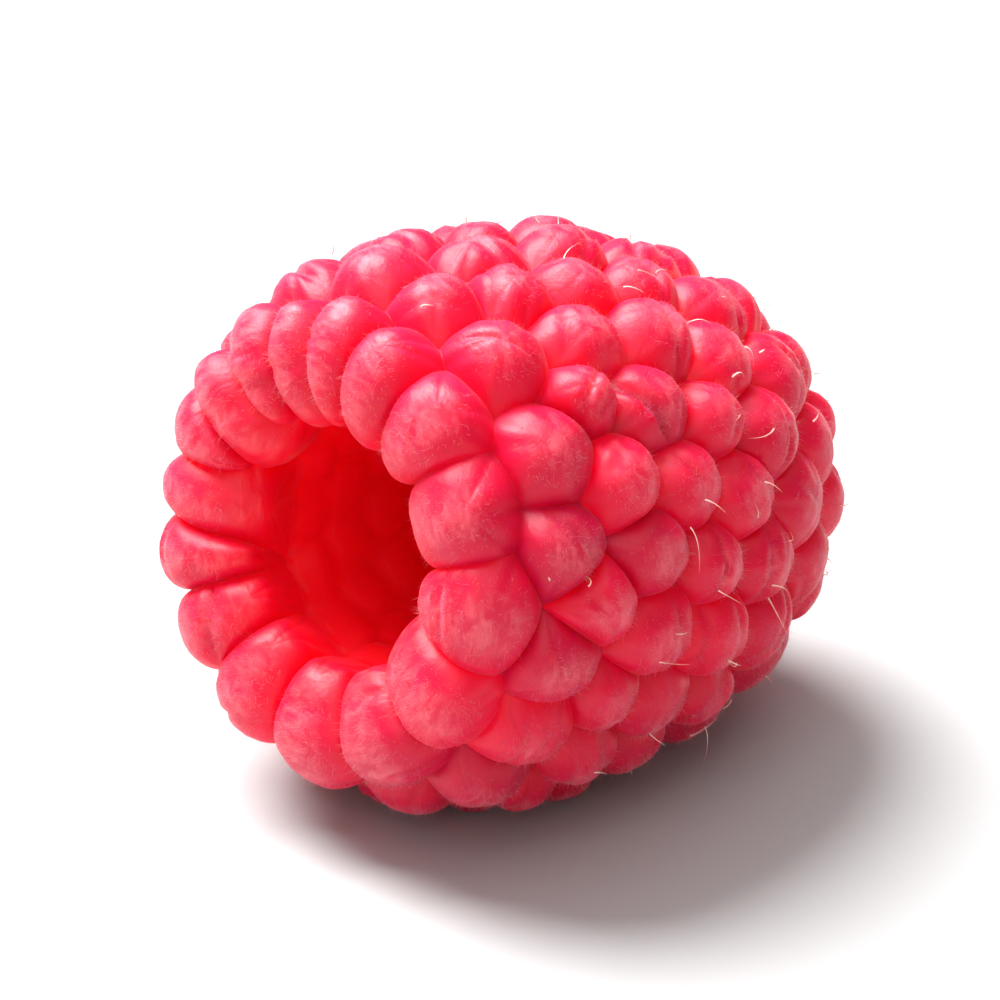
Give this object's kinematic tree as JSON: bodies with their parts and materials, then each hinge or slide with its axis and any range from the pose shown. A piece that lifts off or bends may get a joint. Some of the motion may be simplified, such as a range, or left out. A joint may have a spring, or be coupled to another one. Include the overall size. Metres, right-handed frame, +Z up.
{
  "type": "raspberry",
  "caption": "Picked red raspberry lying on its side, with the open hollow its receptacle left at one end.",
  "frame": {"origin": "centre of the footprint, on the surface the berry lies on", "axes": "+Z up, -Y out of the open mouth, +Y towards the tip, +X to the right of someone who faces the tip"},
  "size_m": [0.021, 0.0244, 0.0207],
  "materials": {
    "raspberry": "satin"
  },
  "bodies": {
    "root": {"raspberry": "raspberry"}
  },
  "joints": []
}
